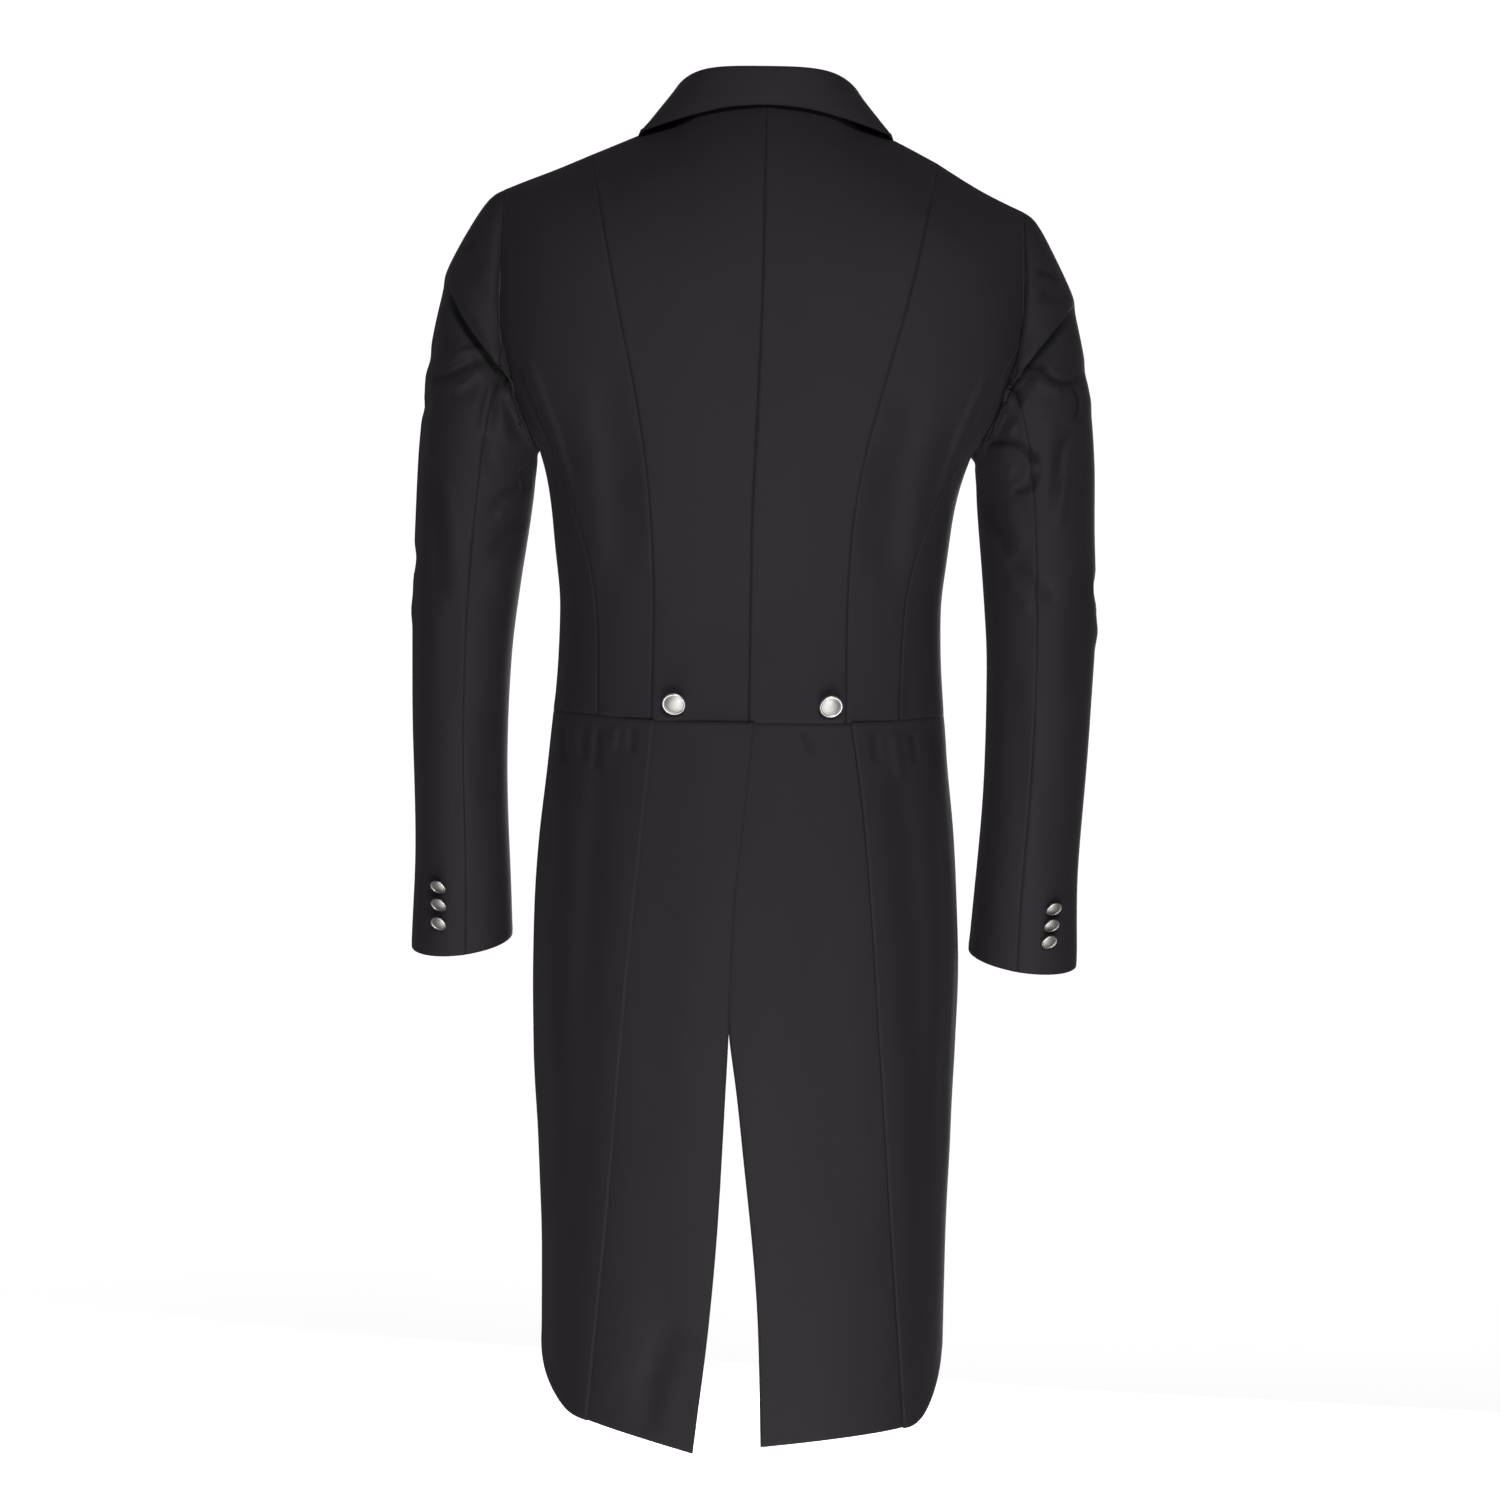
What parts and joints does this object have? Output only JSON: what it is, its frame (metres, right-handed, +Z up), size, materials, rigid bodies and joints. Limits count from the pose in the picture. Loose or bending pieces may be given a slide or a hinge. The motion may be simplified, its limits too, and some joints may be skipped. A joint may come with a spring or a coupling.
{
  "type": "dressage tailcoat",
  "caption": "Black fitted riding tailcoat, filled out as worn, with a folded collar, long curved back seams, set-in sleeves, domed metal buttons and split tails.",
  "frame": {"origin": "between the shoulder points, where the wearer's shoulders carry the coat", "axes": "+Z up, the front faces -Y, and the wearer's left is +X"},
  "size_m": [0.5749, 0.262, 1.1425],
  "materials": {
    "cloth": "black fine twill with a slight soft sheen",
    "metal": "antique silver, softly domed"
  },
  "bodies": {
    "root": {"back_left": "cloth", "back_right": "cloth", "side_back_left": "cloth", "side_back_right": "cloth", "side_panel_left": "cloth", "side_panel_right": "cloth", "front_left": "cloth", "front_right": "cloth", "lapel_left": "cloth", "lapel_right": "cloth", "collar": "cloth", "top_sleeve_left": "cloth", "top_sleeve_right": "cloth", "under_sleeve_left": "cloth", "under_sleeve_right": "cloth", "back_tail_left": "cloth", "back_tail_right": "cloth", "side_tail_left": "cloth", "side_tail_right": "cloth", "back_button_left": "metal", "back_button_right": "metal", "cuff_button_left_1": "metal", "cuff_button_left_2": "metal", "cuff_button_left_3": "metal", "cuff_button_right_1": "metal", "cuff_button_right_2": "metal", "cuff_button_right_3": "metal", "front_button_1": "metal", "front_button_2": "metal", "front_button_3": "metal"}
  },
  "joints": []
}
